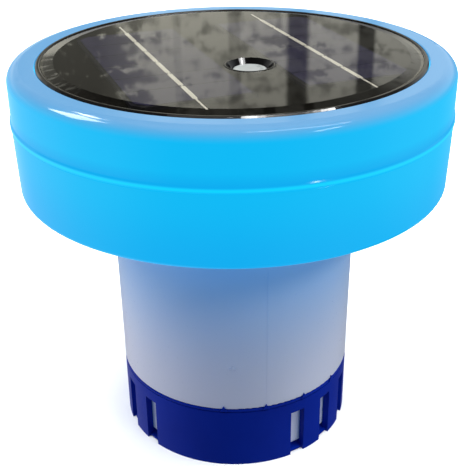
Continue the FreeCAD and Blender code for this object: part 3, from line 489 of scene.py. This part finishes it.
def add_ribbon(node):
    """Tinned ribbon down one panel: wide on each cell, nipped in over each gap, with thin ends."""
    low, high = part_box(node)
    middle = (low + high) / 2
    top, foot = high.z, high.z - 0.15 * MM
    length, cells, pitch, nip = 123 * MM, 6, 16.65 * MM, 1.6 * MM
    wide, narrow = 1.8 * MM, 0.7 * MM
    stations = [(-length / 2, narrow)]
    for index in range(cells):
        centre = (index - (cells - 1) / 2) * pitch
        start, end = centre - pitch / 2 + nip / 2, centre + pitch / 2 - nip / 2
        stations += [(start, narrow), (start, wide), (end, wide), (end, narrow)]
    stations.append((length / 2, narrow))
    turn = Matrix.Rotation(math.radians(ARRAY_TURN), 3, "Z")
    points = []
    for along, width in stations:
        for across, z in ((-width / 2, top), (width / 2, top), (width / 2, foot), (-width / 2, foot)):
            points.append(Vector((middle.x, middle.y, z)) + turn @ Vector((across, along, 0)))
    faces = [(0, 1, 2, 3), tuple(len(points) - 1 - side for side in range(4))]
    for index in range(len(stations) - 1):
        here = 4 * index
        for side in range(4):
            other = (side + 1) % 4
            faces.append((here + side, here + 4 + side, here + 4 + other, here + other))
    ribbon = add_piece(node + "_ribbon", points, faces, "head", "ribbon")
    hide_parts(node)


add_tray_edge()
add_mould_lines()
add_ribbon("busbar_left")
add_ribbon("busbar_right")


# ---------------------------------------------------------------- stage, light and camera

def make_floor():
    """Pale floor, which doesn't light the object or show in its gloss."""
    mesh = bpy.data.meshes.new("floor")
    grid = bmesh.new()
    bmesh.ops.create_circle(grid, cap_ends=True, radius=4.0, segments=96)
    grid.to_mesh(mesh)
    floor = bpy.data.objects.new("floor", mesh)
    bpy.context.scene.collection.objects.link(floor)
    made, build, shader = material("floor")
    grain = build.noise(build.position(), 40, 2)
    build.put(shader.inputs["Base Color"], build.mix(grain, (0.86, 0.86, 0.86), (0.90, 0.90, 0.90)))
    shader.inputs["Roughness"].default_value = 0.8
    shader.inputs["Specular IOR Level"].default_value = 0.1
    mesh.materials.append(made)
    floor.visible_diffuse = False
    floor.visible_glossy = False
    return floor


def make_light(name, at, look_at, size, power, along=(0, 1, 0), diffuse=True, glossy=True, shines_on=()):
    """Rectangular light; its first side runs as nearly as it can along the given direction."""
    light = bpy.data.lights.new(name, "AREA")
    light.shape = "RECTANGLE"
    light.size, light.size_y = size
    light.energy = power
    lamp = bpy.data.objects.new(name, light)
    lamp.location = at
    back = (Vector(at) - Vector(look_at)).normalized()
    second = back.cross(Vector(along)).normalized()
    lamp.rotation_euler = Matrix((second.cross(back), second, back)).transposed().to_euler()
    lamp.visible_diffuse = diffuse
    lamp.visible_glossy = glossy
    if shines_on:
        lit = bpy.data.collections.new(name + "_lights")
        for piece in shines_on:
            lit.objects.link(piece)
        lamp.light_linking.receiver_collection = lit
    bpy.context.scene.collection.objects.link(lamp)


def make_floor_light(floor):
    """Soft light from above that falls on the floor only."""
    only_floor = bpy.data.collections.new("only_floor")
    only_floor.objects.link(floor)
    light = bpy.data.lights.new("floor_light", "SUN")
    light.energy = 6.0
    light.angle = math.radians(70)
    lamp = bpy.data.objects.new("floor_light", light)
    lamp.light_linking.receiver_collection = only_floor
    bpy.context.scene.collection.objects.link(lamp)


def make_world():
    """A plain room: white to the eye; its reflections are bright at the back and sides, dark overhead."""
    world = bpy.data.worlds.new("room")
    world.use_nodes = True
    tree = world.node_tree
    build = Nodes(tree)
    x, y, z = build.axes(build.add("ShaderNodeTexCoord").outputs["Generated"])
    degrees = 180 / math.pi
    bearing = build.math("MULTIPLY", build.math("ARCTAN2", x, y), degrees)
    raised = build.math("MULTIPLY", build.math("ARCSINE", z), degrees)

    around = build.range(bearing, -180, 180)
    upper, level, ground = (build.ramp(around, belt) for belt in (UPPER_BELT, LEVEL_BELT, GROUND_BELT))
    room = build.mix(build.range(raised, 2, 9, smooth=True), level, upper)
    room = build.mix(build.range(raised, -32, -24, smooth=True), ground, room)
    height = build.ramp(build.range(raised, -90, 90), BRIGHT_BY_HEIGHT)
    room = build.mix(1.0, room, height, "MULTIPLY")

    # Posts and leaves outside the window, seen only as dark shapes in the glossy disc
    leaves_across, leaves_up = 0.75, 1.35
    place = build.add("ShaderNodeCombineXYZ")
    build.put(place.inputs[0], build.math("MULTIPLY", bearing, leaves_across))
    build.put(place.inputs[1], build.math("MULTIPLY", raised, leaves_up))
    growth = build.ramp(build.range(bearing, *LEAF_BEARINGS), LEAF_GROWTH)
    thick = build.math("MULTIPLY_ADD", growth, 0.25, build.noise(place.outputs[0], 1.0, 4, 0.6))
    leaf = build.range(thick, 0.52, 0.68, 0.0, 1.0, smooth=True)
    depth_of_leaves = build.math("MULTIPLY_ADD", growth, 0.35, 0.48)
    dark = build.math("SUBTRACT", 1.0, build.math("MULTIPLY", leaf, depth_of_leaves))
    for middle, half, depth in POSTS:
        off = build.math("ABSOLUTE", build.math("SUBTRACT", bearing, middle))
        dark = build.math("MULTIPLY", dark, build.range(off, half * 0.7, half * 1.3, depth, 1.0, smooth=True))
    above_wall = build.range(raised, 10.0, 12.0, 0.0, 1.0, smooth=True)
    room = build.mix(1.0, room, build.mix(above_wall, (1, 1, 1), dark), "MULTIPLY")

    background = tree.nodes["Background"]
    build.put(background.inputs["Color"], room)
    white = build.add("ShaderNodeBackground")
    white.inputs["Color"].default_value = (1, 1, 1, 1)
    seen = build.add("ShaderNodeMixShader")
    build.link(build.add("ShaderNodeLightPath").outputs["Is Camera Ray"], seen.inputs[0])
    build.link(background.outputs[0], seen.inputs[1])
    build.link(white.outputs[0], seen.inputs[2])
    build.link(seen.outputs[0], tree.nodes["World Output"].inputs["Surface"])
    bpy.context.scene.world = world


def make_camera():
    """A camera in front of the object, looking down on it."""
    down, turn, roll = (math.radians(angle) for angle in (CAMERA_DOWN, CAMERA_TURN, CAMERA_ROLL))
    forward = Vector((math.sin(turn) * math.cos(down), math.cos(turn) * math.cos(down), -math.sin(down)))
    level = Vector((math.cos(turn), -math.sin(turn), 0))
    upright = level.cross(forward)
    right = math.cos(roll) * level + math.sin(roll) * upright
    up = math.cos(roll) * upright - math.sin(roll) * level
    camera = bpy.data.objects.new("camera", bpy.data.cameras.new("camera"))
    camera.data.lens = CAMERA_LENS
    camera.data.clip_start = 0.01
    camera.matrix_world = Matrix.Translation(CAMERA_AT) @ Matrix((right, up, -forward)).transposed().to_4x4()
    bpy.context.scene.collection.objects.link(camera)
    bpy.context.scene.camera = camera


def make_lights():
    """A large soft ceiling, two side fills, and the windows and strips that show as glints in the gloss."""
    shells = [frame["nodes"]["upper_shell"], frame["nodes"]["lower_shell"]]
    shoulder_left, shoulder_right = (-0.06, -0.06, 0.165), (0.03, -0.08, 0.17)
    along_rim = (0.555, 0.276, -0.147)
    make_light("ceiling", (0, 0, 1.6), (0, 0, 0.1), (1.3, 1.3), 5.0)
    make_light("fill_left", (-0.90, 0.0, 0.90), (-0.03, 0, 0.06), (0.6, 0.5), 5.5, glossy=False)
    make_light("fill_right", (0.90, 0.0, 0.90), (0.03, 0, 0.06), (0.6, 0.5), 4.0, glossy=False)
    make_light("right_strip", (0.36, -0.27, 1.04), shoulder_right, (0.64, 0.05), 3.2, along=along_rim)
    make_light("right_short_strip", (0.65, -0.58, 0.77), shoulder_right, (0.30, 0.04), 2.0)
    make_light("left_window", (-0.76, 0.10, 0.80), shoulder_left, (0.34, 0.36), 12.0, diffuse=False,
               shines_on=shells)
    make_light("left_window_top", (-0.56, 0.40, 0.98), shoulder_left, (0.26, 0.10), 3.0, diffuse=False,
               shines_on=shells)
    make_light("well_window", (0.56, -0.65, 0.71), tuple(BUTTON), (0.9, 0.3), 10.0, diffuse=False,
               shines_on=[frame["nodes"]["panel_tray"]])


make_floor_light(make_floor())
make_world()
make_lights()
make_camera()
bpy.context.scene.view_settings.view_transform = "Standard"
